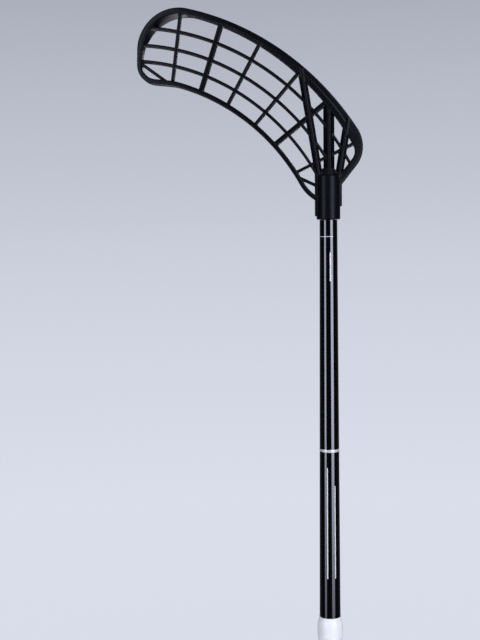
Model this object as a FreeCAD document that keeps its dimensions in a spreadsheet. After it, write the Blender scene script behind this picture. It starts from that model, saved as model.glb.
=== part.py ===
import FreeCAD, Part
import math
import os
import re

import Sketcher
from FreeCAD import Placement, Rotation, Vector

# A floorball stick held upright with its blade at the top.
# The origin is the middle of the flat butt face, +Z runs up the shaft's axis,
# the toe points to -X and the hook of the blade turns to +Y.

DRIVING_SIZES = [
    # Shaft: a drawn composite tube, straight under the grip and tapered above it.
    ("shaft_length", 870, "tube from its butt end to its tip"),
    ("butt_diameter", 24.2, "outside of the tube under the grip"),
    ("tip_diameter", 20, "outside of the tube inside the blade's socket"),
    ("shaft_wall", 1.6, "wall of the tube"),
    ("bare_length", 459, "shaft seen between the grip and the blade"),
    # Hosel: the blade's socket, its round sleeve and a lug on each side of it.
    ("socket_depth", 47, "how far the tube goes into the blade"),
    ("socket_clearance", 0.05, "radial play between the tube and the socket"),
    ("socket_wall", 2.8, "wall of the sleeve round the socket"),
    ("socket_floor", 2, "straight sleeve past the end of the tube"),
    ("gusset_height", 8, "gusset between the struts above the sleeve"),
    ("gusset_crown", 12, "width of that gusset at its top"),
    ("mouth_chamfer", 0.8, "bevel round the sleeve's mouth"),
    ("lug_stand", 1.65, "side lugs proud of the sleeve"),
    ("lug_depth", 10, "side lugs from front to back"),
    ("toe_lug_start", 4, "lower end of the toe-side lug above the mouth"),
    ("toe_lug_length", 48, "toe-side lug along the sleeve"),
    ("heel_lug_start", 15, "lower end of the heel-side lug above the mouth"),
    ("heel_lug_length", 31, "heel-side lug along the sleeve"),
    # Outline of the blade, hung on the corner where its neck meets its top edge.
    ("neck_side", 25.2, "that corner from the axis, towards the toe"),
    ("neck_height", 27.4, "that corner above the mouth"),
    ("neck_bow_angle", 25.7, "bearing of that corner from the centre of the bow"),
    ("neck_angle", 28, "slope of the neck's edge"),
    ("neck_round", 45, "bend from the top edge into the neck"),
    ("neck_hollow", 41, "the same bend inside the rim"),
    ("top_radius", 238.8, "outer curve of the top edge"),
    ("blade_width", 86.6, "from the top edge to the sole, along the bow's radius"),
    ("toe_in", 24.4, "end of the toe from the centre of the bow, towards the heel"),
    ("toe_dip", 3.1, "toe's lower corner below the run of the top edge"),
    ("toe_foot_angle", 7.4, "slope of the toe's lower edge"),
    ("foot_round", 60, "hollow from the toe into the top edge"),
    ("foot_hollow", 64, "the same hollow inside the rim"),
    ("toe_low_share", 0.26, "radius of the toe's lower corner, as a share of the blade's width"),
    ("toe_low_inner_share", 0.214, "the same corner inside the rim"),
    ("toe_top_share", 0.531, "radius of the toe's upper corner, as the same share"),
    ("toe_top_inner_share", 0.577, "the same corner inside the rim"),
    ("heel_foot", 21.9, "height where the heel's edge would cross the axis"),
    ("heel_angle", 52, "slope of the heel's edge"),
    ("heel_round", 34, "corner of the heel"),
    ("heel_hollow", 14, "the same corner inside the rim"),
    # Rim of the blade.
    ("rim_depth", 13, "rim from front to back"),
    ("top_rim", 4.2, "width of the rim along the top edge"),
    ("toe_rim", 4.2, "width of the rim round the toe"),
    ("heel_rim", 6.6, "width of the rim at the heel"),
    ("sole_rim", 4.6, "least width of the rim along the sole"),
    ("sole_swell", 13, "shift of the sole's inner curve that thickens it to the heel"),
    ("sole_swell_angle", 10, "direction of that shift from the vertical"),
    # Grid inside the rim: long ribs follow the bow, cross ribs fan out from one centre.
    ("rib_depth", 8, "ribs from front to back"),
    ("rib_width", 2.4, "thin ribs across"),
    ("main_rib_width", 4.4, "the two heavier cross ribs across"),
    ("first_rib_share", 0.307, "long rib next to the sole, as a share of the blade's width"),
    ("middle_rib_share", 0.539, "middle long rib, as the same share"),
    ("last_rib_share", 0.752, "long rib next to the top edge, as the same share"),
    ("fan_in", 42.7, "centre of the cross ribs from the bow's centre, towards the heel"),
    ("fan_up", 47.9, "the same centre above the bow's centre"),
    ("toe_cross_angle", 6.8, "first cross rib from the vertical"),
    ("toe_main_cross_angle", 17.5, "second cross rib, a heavy one"),
    ("third_cross_angle", 28.4, "third cross rib"),
    ("fourth_cross_angle", 40.7, "fourth cross rib"),
    ("heel_main_cross_angle", 50.9, "fifth cross rib, a heavy one"),
    ("heel_cross_angle", 63.4, "sixth cross rib, over the hosel to the heel"),
    ("toe_brace_in", 20.4, "middle of the short brace in the toe, from the toe's end"),
    ("toe_brace_up", 9.2, "the same middle above the toe's lower corner"),
    ("toe_brace_angle", 126.5, "turn of that brace from the vertical"),
    ("neck_brace_side", 22, "middle of the short brace beside the hosel, from the axis"),
    ("neck_brace_up", 42, "the same middle above the mouth"),
    ("neck_brace_angle", 115, "turn of that brace from the vertical"),
    ("rib_stop", 1, "lower end of the long ribs above the sleeve"),
    ("brace_length", 44, "short braces before the rim trims them"),
    # Struts that carry the sole on the hosel, roof-shaped front and back.
    ("strut_depth", 13, "struts from front to back"),
    ("strut_ridge", 2, "flat along the top of each roof"),
    ("side_strut_width", 8, "outer struts across"),
    ("middle_strut_width", 11.6, "middle strut across"),
    ("strut_shift", 0.8, "middle strut from the axis, towards the heel"),
    ("strut_spread", 9.85, "outer struts from the middle one at their foot"),
    ("strut_lean_angle", 9.3, "lean of the outer struts"),
    ("strut_root", 8, "foot of the struts below the top of the sleeve"),
    # Hook: the blade is bent round a cylinder, and its walls follow one draw direction.
    ("hook_radius", 800, "radius of the hook"),
    ("hook_start", 53, "where the hook starts from the axis, at the mouth's height"),
    ("chord_angle", 22, "slope of the blade's chord"),
    ("draw_angle", 7.9, "draw direction of the walls from the Y axis"),
    ("draw_span", 90, "depth of the plan shapes that the hook then trims"),
    # Blade screw in the heel-side lug.
    ("screw_height", 30, "screw above the mouth of the socket"),
    ("screw_diameter", 3.9, "shank across its thread"),
    ("screw_length", 9, "shank under the head"),
    ("screw_point", 2.4, "tapered point of the shank"),
    ("screw_tip", 0.6, "blunt tip of the point across"),
    ("screw_head", 7, "head across"),
    ("screw_head_height", 1.9, "height of the head"),
    ("screw_head_bevel", 0.7, "bevelled shoulder of the head"),
    ("screw_clearance", 0.1, "radial play round the shank and the head"),
    ("head_recess", 2.2, "depth of the seat for the head in the lug"),
    ("drive_span", 4, "cross recess from tip to tip"),
    ("drive_slot", 1, "width of the cross recess"),
    ("drive_depth", 1.1, "depth of the cross recess"),
    # Grip: a strip wound edge to edge, and a band that finishes its upper end.
    ("tape_thickness", 2.1, "thickness of the grip strip"),
    ("tape_pitch", 24.5, "rise of the strip in one turn"),
    ("tape_seam", 0.6, "gap between two turns of the strip"),
    ("tape_bond", 0.05, "glue line under the strip"),
    ("tape_end_gap", 0.3, "strip clear of the end cap and of the band's slope"),
    ("band_length", 24, "length of the finishing band"),
    ("band_slope", 9, "part of the band that slopes down to the shaft"),
    ("band_thickness", 0.3, "thickness of the finishing band"),
    # End cap pressed into the butt.
    ("cap_head", 8, "height of the head below the tube"),
    ("cap_inset", 0.25, "head inside the outside of the grip"),
    ("cap_bevel", 1.5, "bevelled lower edge of the head"),
    ("cap_spigot", 30, "spigot inside the tube"),
    ("cap_clearance", 0.1, "radial play between the rings and the tube"),
    ("cap_wall", 2.5, "wall of the hollow spigot between its rings"),
    ("cap_floor", 4, "floor left under that bore"),
    ("ring_stand", 0.9, "rings proud of the spigot"),
    ("ring_count", 3, "rings on the spigot"),
    ("ring_height", 2, "each ring along the axis"),
    ("ring_start", 3, "first ring above the head"),
]

# Sizes that follow from the driving ones, as formulas on them.
WORKED_SIZES = [
    ("mouth", "cap_head + shaft_length - socket_depth"),
    ("grip_top", "mouth - bare_length"),
    ("bore_radius", "tip_diameter / 2 + socket_clearance"),
    ("hosel_radius", "bore_radius + socket_wall"),
    ("hosel_length", "socket_depth + socket_floor"),
    ("lug_reach", "hosel_radius + lug_stand"),
    ("sole_radius", "top_radius + blade_width"),
    ("bow_side", "neck_side + top_radius * cos(neck_bow_angle)"),
    ("bow_drop", "top_radius * sin(neck_bow_angle) - neck_height"),
    ("neck_foot", "neck_height - neck_side * tan(neck_angle)"),
    ("toe_reach", "bow_side - toe_in"),
    ("toe_foot", "sqrt(top_radius * top_radius - toe_in * toe_in) - bow_drop - toe_dip"),
    ("toe_low_round", "toe_low_share * blade_width"),
    ("toe_low_hollow", "toe_low_inner_share * blade_width"),
    ("toe_top_round", "toe_top_share * blade_width"),
    ("toe_top_hollow", "toe_top_inner_share * blade_width"),
    ("hook_offset", "hook_radius * sin(draw_angle)"),
    ("hook_centre", "hook_radius * cos(draw_angle)"),
    ("tape_inside", "butt_diameter / 2 + tape_bond"),
    ("tape_outside", "tape_inside + tape_thickness"),
    ("tape_length", "grip_top - band_slope - cap_head - 2 * tape_end_gap"),
    ("cap_radius", "tape_outside - cap_inset"),
    ("ring_radius", "butt_diameter / 2 - shaft_wall - cap_clearance"),
    ("core_radius", "ring_radius - ring_stand"),
    ("hollow_radius", "core_radius - cap_wall"),
    ("ring_pitch", "(cap_spigot - ring_start - ring_height) / (ring_count - 1)"),
]

# Points taken along each edge where a gap is measured.
SEAM_POINTS = 13

doc = FreeCAD.newDocument("floorball_stick")
sizes = doc.addObject("Spreadsheet::Sheet", "Sizes")
worked = doc.addObject("Spreadsheet::Sheet", "Worked")
DRIVING_NAMES = {name for name, value, note in DRIVING_SIZES}
WORKED_NAMES = {name for name, formula in WORKED_SIZES}


def bound(formula):
    """Writes a formula on plain size names as an expression on the two sheets."""
    def with_sheet(match):
        word = match.group(0)
        if word in DRIVING_NAMES:
            return "Sizes." + word
        return "Worked." + word if word in WORKED_NAMES else word
    return re.sub(r"[a-z_]+", with_sheet, formula)


def size(name):
    """Reads one size from its sheet."""
    return float((sizes if name in DRIVING_NAMES else worked).get(name))


def fill_sheets():
    for row, (name, value, note) in enumerate(DRIVING_SIZES, start=1):
        sizes.set(f"A{row}", name)
        sizes.set(f"B{row}", str(value))
        sizes.set(f"C{row}", note)
        sizes.setAlias(f"B{row}", name)
    doc.recompute()
    for row, (name, formula) in enumerate(WORKED_SIZES, start=1):
        worked.set(f"A{row}", name)
        worked.set(f"B{row}", "=" + bound(formula))
        worked.setAlias(f"B{row}", name)
        doc.recompute()


def primitive(kind, name, place, **dimensions):
    """Adds a Part primitive with its sizes and its place bound to the sheets."""
    shape = doc.addObject("Part::" + kind, name)
    for dimension_name, formula in dimensions.items():
        shape.setExpression(dimension_name, bound(formula))
    shape.setExpression("Placement", bound(place))
    return shape


def at(x, y, z, axis="0; 0; 1", angle="0"):
    """Formula of a place: a point and a turn about an axis."""
    return f"placement(vector({x}; {y}; {z}); rotation(vector({axis}); {angle}))"


def boolean(kind, name, *shapes):
    """Adds a MultiFuse or MultiCommon of several shapes, or a Cut of two."""
    result = doc.addObject("Part::" + kind, name)
    if kind == "Cut":
        result.Base, result.Tool = shapes
    else:
        result.Shapes = list(shapes)
    return result


# Sketches

def dimension(sketch, kind, *where, formula):
    """Adds a dimension to a sketch and binds it to the sheets."""
    index = sketch.addConstraint(Sketcher.Constraint(kind, *where))
    sketch.setExpression(f"Constraints[{index}]", bound(formula))


def hold(sketch, edge, point, across, up):
    """Holds a point of a sketch at two formulas from the origin."""
    here = sketch.getPoint(edge, point)
    if across == "0":
        sketch.addConstraint(Sketcher.Constraint("PointOnObject", edge, point, -2))
    else:
        dimension(sketch, "DistanceX", -1, 1, edge, point, here.x, formula=across)
    if up == "0":
        sketch.addConstraint(Sketcher.Constraint("PointOnObject", edge, point, -1))
    else:
        dimension(sketch, "DistanceY", -1, 1, edge, point, here.y, formula=up)


def draw_polygon(sketch, corners):
    """Draws a closed polygon whose corners are pairs of formulas."""
    count = len(corners)
    turns = [2 * math.pi * index / count for index in range(count + 1)]
    rough = [Vector(2 + math.cos(turn), 2 + math.sin(turn), 0) for turn in turns]
    for index in range(count):
        sketch.addGeometry(Part.LineSegment(rough[index], rough[index + 1]), False)
    for index in range(count):
        sketch.addConstraint(Sketcher.Constraint("Coincident", index, 2, (index + 1) % count, 1))
    for index, (across, up) in enumerate(corners):
        hold(sketch, index, 1, across, up)


def body_sketch(body, name, role):
    """A sketch on one of the body's own origin planes."""
    sketch = body.newObject("Sketcher::SketchObject", name)
    plane = next(plane for plane in body.Origin.OriginFeatures if plane.Role == role)
    sketch.AttachmentSupport = [(plane, "")]
    sketch.MapMode = "FlatFace"
    return sketch


def turned_body(label, corners, place):
    """A body turned about its Z axis from a half profile of (radius, height) corners."""
    body = doc.addObject("PartDesign::Body", label)
    body.Label = label
    body.setExpression("Placement", bound(place))
    profile = body_sketch(body, label + "_profile", "XZ_Plane")
    draw_polygon(profile, corners)
    turn = body.newObject("PartDesign::Revolution", label + "_turn")
    turn.Profile = profile
    turn.ReferenceAxis = (profile, ["V_Axis"])
    turn.Angle = 360
    doc.recompute()
    return body


# Shaft

def make_shaft_tube():
    outside = [
        ("butt_diameter / 2", "0"),
        ("butt_diameter / 2", "grip_top - cap_head"),
        ("tip_diameter / 2", "mouth - cap_head"),
        ("tip_diameter / 2", "shaft_length"),
    ]
    inside = [(radius + " - shaft_wall", height) for radius, height in reversed(outside)]
    body = turned_body("shaft_tube", outside + inside, at("0", "0", "cap_head"))
    whole = body.Shape.Volume
    hole = body_sketch(body, "screw_hole_circle", "YZ_Plane")
    hole.addGeometry(Part.Circle(Vector(0, 1, 0), Vector(0, 0, 1), 1), False)
    hold(hole, 0, 3, "0", "mouth - cap_head + screw_height")
    dimension(hole, "Radius", 0, 1, formula="screw_diameter / 2 + screw_clearance")
    drill = body.newObject("PartDesign::Pocket", "screw_hole")
    drill.Profile = hole
    drill.setExpression("Length", bound("tip_diameter"))
    drill.Reversed = True
    doc.recompute()
    if body.Shape.Volume >= whole:
        raise RuntimeError("the screw hole misses the tube")
    return body


# Blade: the cage is drawn flat in its own frame, with the socket's mouth at the origin
# and the mould's draw direction along Y, then trimmed to the hook and turned into place.

def line_meets_circle(start, turn, centre, radius):
    """The two points where a line from start, leaving at an angle, crosses a circle."""
    way = Vector(math.cos(turn), math.sin(turn), 0)
    along = way.dot(centre - start)
    half = math.sqrt(radius ** 2 - (centre - start).Length ** 2 + along ** 2)
    return start + way * (along - half), start + way * (along + half)


def arc_between(centre, radius, start, end):
    turns = [math.atan2(point.y - centre.y, point.x - centre.x) for point in (start, end)]
    return Part.ArcOfCircle(Part.Circle(centre, Vector(0, 0, 1), radius), *turns)


def beside(corner, curve):
    """A point on a curve, a little way in from the end at a corner."""
    first, last = curve.FirstParameter, curve.LastParameter
    step = (last - first) / 10
    return min(curve.value(first + step), curve.value(last - step), key=corner.distanceToPoint)


def outline_sketch(name, inset):
    """Closed outline of the blade; inset 0 is the rim's outer edge and 1 its inner edge."""
    foot_turn, neck_turn, heel_turn, swell_turn = (
        math.radians(size(angle))
        for angle in ("toe_foot_angle", "neck_angle", "heel_angle", "sole_swell_angle"))
    swell = inset * size("sole_swell")
    bow = Vector(-size("bow_side"), -size("bow_drop"), 0)
    sole_bow = bow + Vector(-math.sin(swell_turn), math.cos(swell_turn), 0) * swell
    sole_radius = size("sole_radius") - inset * size("sole_rim") - swell
    top_radius = size("top_radius") + inset * size("top_rim")
    neck_end = Vector(0, size("neck_foot") + inset * size("top_rim") / math.cos(neck_turn), 0)
    heel_end = Vector(0, size("heel_foot") + inset * size("heel_rim") / math.cos(heel_turn), 0)
    low_toe = Vector(inset * size("toe_rim") - size("toe_reach"),
                     size("toe_foot") + inset * size("toe_rim"), 0)
    neck_corner = line_meets_circle(neck_end, math.pi - neck_turn, bow, top_radius)[0]
    foot_corner = line_meets_circle(low_toe, -foot_turn, bow, top_radius)[1]
    top_toe = line_meets_circle(low_toe, math.pi / 2, sole_bow, sole_radius)[1]
    heel_corner = line_meets_circle(heel_end, heel_turn, sole_bow, sole_radius)[1]

    sketch = doc.addObject("Sketcher::SketchObject", name)
    sketch.Placement = Placement(Vector(), Rotation(Vector(1, 0, 0), 90))
    neck, top, foot, toe, sole, heel, root, toe_corner = range(8)
    sketch.addGeometry([
        Part.LineSegment(neck_end, neck_corner),
        arc_between(bow, top_radius, neck_corner, foot_corner),
        Part.LineSegment(foot_corner, low_toe),
        Part.LineSegment(low_toe, top_toe),
        arc_between(sole_bow, sole_radius, heel_corner, top_toe),
        Part.LineSegment(heel_end, heel_corner),
        Part.LineSegment(heel_end, neck_end),
    ], False)
    sketch.addGeometry(Part.Point(low_toe), True)
    for join in [(neck, 2, top, 1), (top, 2, foot, 1), (foot, 2, toe, 1), (toe, 2, sole, 2),
                 (sole, 1, heel, 2), (heel, 1, root, 1), (root, 2, neck, 1)]:
        sketch.addConstraint(Sketcher.Constraint("Coincident", *join))
    for one, other, corner, outer, inner in [
            (neck, top, neck_corner, "neck_round", "neck_hollow"),
            (top, foot, foot_corner, "foot_round", "foot_hollow"),
            (foot, toe, low_toe, "toe_low_round", "toe_low_hollow"),
            (toe, sole, top_toe, "toe_top_round", "toe_top_hollow"),
            (sole, heel, heel_corner, "heel_round", "heel_hollow")]:
        radius = (1 - inset) * size(outer) + inset * size(inner)
        sides = [beside(corner, sketch.Geometry[edge]) for edge in (one, other)]
        sketch.fillet(one, other, *sides, radius, True, False)
        dimension(sketch, "Radius", sketch.GeometryCount - 1, radius,
                  formula=f"(1 - {inset}) * {outer} + {inset} * {inner}")

    hold(sketch, neck, 1, "0", f"neck_foot + {inset} * top_rim / cos(neck_angle)")
    hold(sketch, heel, 1, "0", f"heel_foot + {inset} * heel_rim / cos(heel_angle)")
    hold(sketch, top, 3, "-bow_side", "-bow_drop")
    hold(sketch, sole, 3, f"-bow_side - {inset} * sole_swell * sin(sole_swell_angle)",
         f"{inset} * sole_swell * cos(sole_swell_angle) - bow_drop")
    dimension(sketch, "Radius", top, top_radius, formula=f"top_radius + {inset} * top_rim")
    dimension(sketch, "Radius", sole, sole_radius,
              formula=f"sole_radius - {inset} * (sole_rim + sole_swell)")
    dimension(sketch, "Angle", neck, math.pi - neck_turn, formula="180 - neck_angle")
    dimension(sketch, "Angle", heel, heel_turn, formula="heel_angle")
    dimension(sketch, "Angle", foot, math.pi - foot_turn, formula="180 - toe_foot_angle")
    sketch.addConstraint(Sketcher.Constraint("Vertical", toe))
    for edge in (foot, toe):
        sketch.addConstraint(Sketcher.Constraint("PointOnObject", toe_corner, 1, edge))
    hold(sketch, toe_corner, 1, f"{inset} * toe_rim - toe_reach", f"toe_foot + {inset} * toe_rim")
    doc.recompute()
    return sketch


def outline_prism(name, inset):
    prism = doc.addObject("Part::Extrusion", name)
    prism.Base = outline_sketch(name + "_outline", inset)
    prism.DirMode = "Normal"
    prism.Solid = True
    prism.Symmetric = True
    prism.setExpression("LengthFwd", bound("draw_span"))
    return prism


def hook_slab(name, depth):
    """The bent layer of one depth, between two cylinders that lie across the chord."""
    place = at("-hook_start - hook_offset * cos(chord_angle)", "hook_centre",
               "hook_offset * sin(chord_angle)", "0; 1; 0", "chord_angle")
    place += " * " + at("0", "0", "-hook_radius / 2")
    outer = primitive("Cylinder", name + "_front", place,
                      Radius=f"hook_radius + {depth} / 2", Height="hook_radius")
    inner = primitive("Cylinder", name + "_back", place,
                      Radius=f"hook_radius - {depth} / 2", Height="hook_radius")
    return boolean("Cut", name, outer, inner)


def long_rib(name, radius):
    """A rib that follows the bow of the blade."""
    place = at("-bow_side", "-draw_span / 2", "-bow_drop", "1; 0; 0", "-90")
    outer = primitive("Cylinder", name + "_outer", place,
                      Radius=f"{radius} + rib_width / 2", Height="draw_span")
    inner = primitive("Cylinder", name + "_inner", place,
                      Radius=f"{radius} - rib_width / 2", Height="draw_span")
    return boolean("Cut", name, outer, inner)


def straight_rib(name, x, z, angle, width, start, length):
    """A straight rib through a point, turned from the vertical, from start along its line."""
    place = at(x, "0", z, "0; 1; 0", angle)
    place += " * " + at(f"-{width} / 2", "-draw_span / 2", start)
    return primitive("Box", name, place, Length=width, Width="draw_span", Height=length)


def make_ribs():
    long_ribs = [long_rib(name + "_rib", f"sole_radius - {name}_rib_share * blade_width")
                 for name in ("first", "middle", "last")]
    hosel_room = primitive("Box", "hosel_room", at("-lug_reach", "-draw_span / 2", "0"),
                           Length="2 * lug_reach", Width="draw_span", Height="hosel_length + rib_stop")
    ribs = [boolean("Cut", "long_ribs", boolean("MultiFuse", "bow_ribs", *long_ribs), hosel_room)]
    for name in ("toe", "toe_main", "third", "fourth", "heel_main", "heel"):
        width = "main_rib_width" if "main" in name else "rib_width"
        ribs.append(straight_rib(name + "_cross", "fan_in - bow_side", "fan_up - bow_drop",
                                 name + "_cross_angle", width, "top_radius / 2", "sole_radius"))
    for name, x, z in (("toe_brace", "toe_brace_in - toe_reach", "toe_foot + toe_brace_up"),
                       ("neck_brace", "-neck_brace_side", "neck_brace_up")):
        ribs.append(straight_rib(name, x, z, name + "_angle", "rib_width", "-brace_length / 2", "brace_length"))
    return boolean("MultiFuse", "rib_plan", *ribs)


def make_cage():
    rim_plan = boolean("Cut", "rim_plan", outline_prism("rim_outside", 0), outline_prism("rim_inside", 1))
    rim = boolean("MultiCommon", "rim", rim_plan, hook_slab("rim_slab", "rim_depth"))
    grid = boolean("MultiCommon", "grid", make_ribs(), outline_prism("rim_middle", 0.5),
                   hook_slab("rib_slab", "rib_depth"))
    cage = boolean("MultiFuse", "cage", rim, grid)
    turn = at("-hook_start", "0", "mouth", "sin(chord_angle); 0; cos(chord_angle)", "-draw_angle")
    cage.setExpression("Placement", bound(turn + " * " + at("hook_start", "0", "0")))
    return cage


def make_strut(name, x, angle, width):
    """A strut from the hosel up to the sole, with a roof on its front and its back."""
    roofs = []
    for side, flip in (("front", "180"), ("back", "0")):
        place = at(x, "0", "mouth + hosel_length - strut_root", "0; 1; 0", angle)
        place += " * " + at("0", "0", "0", "0; 0; 1", flip)
        roofs.append(primitive(
            "Wedge", f"{name}_{side}", place,
            Xmin=f"-{width} / 2", Xmax=f"{width} / 2", X2min="-strut_ridge / 2", X2max="strut_ridge / 2",
            Ymin="0", Ymax="strut_depth / 2",
            Zmin="0", Zmax="sole_radius / 2", Z2min="0", Z2max="sole_radius / 2"))
    return boolean("MultiFuse", name, *roofs)


def make_struts():
    struts = [
        make_strut("toe_strut", "strut_shift - strut_spread", "-strut_lean_angle", "side_strut_width"),
        make_strut("middle_strut", "strut_shift", "0", "middle_strut_width"),
        make_strut("heel_strut", "strut_shift + strut_spread", "strut_lean_angle", "side_strut_width"),
    ]
    place = at("-bow_side", "-draw_span / 2", "mouth - bow_drop", "1; 0; 0", "-90")
    limit = primitive("Cylinder", "sole_limit", place, Radius="sole_radius - sole_rim / 2", Height="draw_span")
    return boolean("MultiCommon", "struts", boolean("MultiFuse", "strut_plan", *struts), limit)


def make_hosel():
    sleeve = turned_body("hosel_sleeve", [
        ("0", "0"),
        ("hosel_radius - mouth_chamfer", "0"),
        ("hosel_radius", "mouth_chamfer"),
        ("hosel_radius", "hosel_length"),
        ("0", "hosel_length"),
    ], at("0", "0", "mouth"))
    lugs = [primitive("Box", side + "_lug", at(x, "-lug_depth / 2", f"mouth + {side}_lug_start"),
                      Length="lug_reach", Width="lug_depth", Height=side + "_lug_length")
            for side, x in (("toe", "-lug_reach"), ("heel", "0"))]
    gusset = primitive("Wedge", "gusset", at("0", "0", "mouth + hosel_length", "1; 0; 0", "90"),
                       Xmin="-hosel_radius", Xmax="hosel_radius",
                       X2min="-gusset_crown / 2", X2max="gusset_crown / 2",
                       Ymin="-socket_floor / 2", Ymax="gusset_height",
                       Zmin="-lug_depth / 2", Zmax="lug_depth / 2",
                       Z2min="-lug_depth / 2", Z2max="lug_depth / 2")
    return boolean("MultiFuse", "hosel", sleeve, gusset, *lugs)


def make_blade():
    bore = primitive("Cylinder", "socket", at("0", "0", "mouth"),
                     Radius="bore_radius", Height="socket_depth")
    across = ("0; 1; 0", "90")
    shank_hole = primitive("Cylinder", "shank_hole", at("0", "0", "mouth + screw_height", *across),
                           Radius="screw_diameter / 2 + screw_clearance", Height="2 * lug_reach")
    head_seat = primitive("Cylinder", "head_seat",
                          at("lug_reach - head_recess", "0", "mouth + screw_height", *across),
                          Radius="screw_head / 2 + screw_clearance", Height="2 * head_recess")
    moulding = boolean("MultiFuse", "moulding", make_cage(), make_struts(), make_hosel())
    holes = boolean("MultiFuse", "blade_holes", bore, shank_hole, head_seat)
    blade = boolean("Cut", "blade", moulding, holes)
    blade.Label = "blade"
    doc.recompute()
    return blade


def make_blade_screw():
    """A self-tapping pan-head screw, turned about Z from its tip up and then laid along X."""
    body = turned_body("blade_screw", [
        ("0", "-screw_length"),
        ("screw_tip / 2", "-screw_length"),
        ("screw_diameter / 2", "screw_point - screw_length"),
        ("screw_diameter / 2", "0"),
        ("screw_head / 2", "0"),
        ("screw_head / 2", "screw_head_height - screw_head_bevel"),
        ("screw_head / 2 - screw_head_bevel", "screw_head_height"),
        ("0", "screw_head_height"),
    ], at("lug_reach - head_recess", "0", "mouth + screw_height", "0; 1; 0", "90"))
    whole = body.Shape.Volume
    cross = body_sketch(body, "drive_cross", "XY_Plane")
    cross.AttachmentOffset = Placement(Vector(0, 0, size("screw_head_height")), Rotation())
    cross.setExpression("AttachmentOffset.Base.z", bound("screw_head_height"))
    slot, span = "drive_slot / 2", "drive_span / 2"
    draw_polygon(cross, [
        (slot, slot), (slot, span), ("-" + slot, span), ("-" + slot, slot),
        ("-" + span, slot), ("-" + span, "-" + slot), ("-" + slot, "-" + slot), ("-" + slot, "-" + span),
        (slot, "-" + span), (slot, "-" + slot), (span, "-" + slot), (span, slot),
    ])
    recess = body.newObject("PartDesign::Pocket", "drive_recess")
    recess.Profile = cross
    recess.setExpression("Length", bound("drive_depth"))
    doc.recompute()
    if body.Shape.Volume >= whole:
        raise RuntimeError("the cross recess misses the head")
    return body


# Grip

def make_grip_tape():
    """A strip wound up the butt, as a sleeve parted by one helical seam."""
    body = turned_body("grip_tape", [
        ("tape_inside", "0"),
        ("tape_outside", "0"),
        ("tape_outside", "tape_length"),
        ("tape_inside", "tape_length"),
    ], at("0", "0", "cap_head + tape_end_gap"))
    whole = body.Shape.Volume
    seam = body_sketch(body, "seam_section", "XZ_Plane")
    draw_polygon(seam, [
        ("tape_inside - tape_thickness / 2", "-tape_pitch - tape_seam / 2"),
        ("tape_outside + tape_thickness / 2", "-tape_pitch - tape_seam / 2"),
        ("tape_outside + tape_thickness / 2", "tape_seam / 2 - tape_pitch"),
        ("tape_inside - tape_thickness / 2", "tape_seam / 2 - tape_pitch"),
    ])
    winding = body.newObject("PartDesign::SubtractiveHelix", "seam_cut")
    winding.Profile = seam
    winding.ReferenceAxis = (seam, ["V_Axis"])
    winding.Mode = "pitch-height-angle"
    winding.setExpression("Pitch", bound("tape_pitch"))
    winding.setExpression("Height", bound("tape_length + 2 * tape_pitch"))
    doc.recompute()
    if body.Shape.Volume >= whole:
        raise RuntimeError("the seam misses the grip")
    print("least gap of the grip strip to itself", round(least_seam_gap(body.Shape), 3), "mm")
    return body


def least_seam_gap(strip):
    """Least gap of the strip to itself, between points on the facing walls of its seam."""
    lower_walls, upper_walls = [], []
    for face in strip.Faces:
        if isinstance(face.Surface, (Part.Plane, Part.Cylinder)):
            continue
        low_u, high_u, low_v, high_v = face.ParameterRange
        facing = face.normalAt((low_u + high_u) / 2, (low_v + high_v) / 2).z
        walls = upper_walls if facing < 0 else lower_walls
        walls.extend(point for edge in face.Edges for point in edge.discretize(Number=SEAM_POINTS))
    reach = size("tape_pitch") / 2
    return min(point.distanceToPoint(other) for point in lower_walls for other in upper_walls
               if abs(point.z - other.z) < reach)


def make_finish_band():
    """A thin band over the grip's upper end that slopes down to the shaft."""
    return turned_body("finish_band", [
        ("tape_outside + tape_bond", "0"),
        ("tape_outside + tape_bond + band_thickness", "0"),
        ("tape_outside + tape_bond + band_thickness", "band_length - band_slope"),
        ("tape_inside + band_thickness", "band_length"),
        ("tape_inside", "band_length"),
        ("tape_outside + tape_bond", "band_length - band_slope"),
    ], at("0", "0", "grip_top - band_length"))


# End cap

def make_end_cap():
    body = turned_body("end_cap", [
        ("0", "0"),
        ("cap_radius - cap_bevel", "0"),
        ("cap_radius", "cap_bevel"),
        ("cap_radius", "cap_head"),
        ("core_radius", "cap_head"),
        ("core_radius", "cap_head + cap_spigot"),
        ("hollow_radius", "cap_head + cap_spigot"),
        ("hollow_radius", "cap_floor"),
        ("0", "cap_floor"),
    ], at("0", "0", "0"))
    section = body_sketch(body, "ring_section", "XZ_Plane")
    draw_polygon(section, [
        ("hollow_radius", "cap_head + ring_start"),
        ("core_radius", "cap_head + ring_start"),
        ("ring_radius", "cap_head + ring_start + ring_height / 2"),
        ("core_radius", "cap_head + ring_start + ring_height"),
        ("hollow_radius", "cap_head + ring_start + ring_height"),
    ])
    ring = body.newObject("PartDesign::Revolution", "ring")
    ring.Profile = section
    ring.ReferenceAxis = (section, ["V_Axis"])
    ring.Angle = 360
    doc.recompute()
    rings = body.newObject("PartDesign::LinearPattern", "rings")
    rings.Originals = [ring]
    rings.Direction = (section, ["V_Axis"])
    rings.setExpression("Length", bound("ring_pitch * (ring_count - 1)"))
    rings.setExpression("Occurrences", bound("ring_count"))
    body.Tip = rings
    doc.recompute()
    return body


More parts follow.
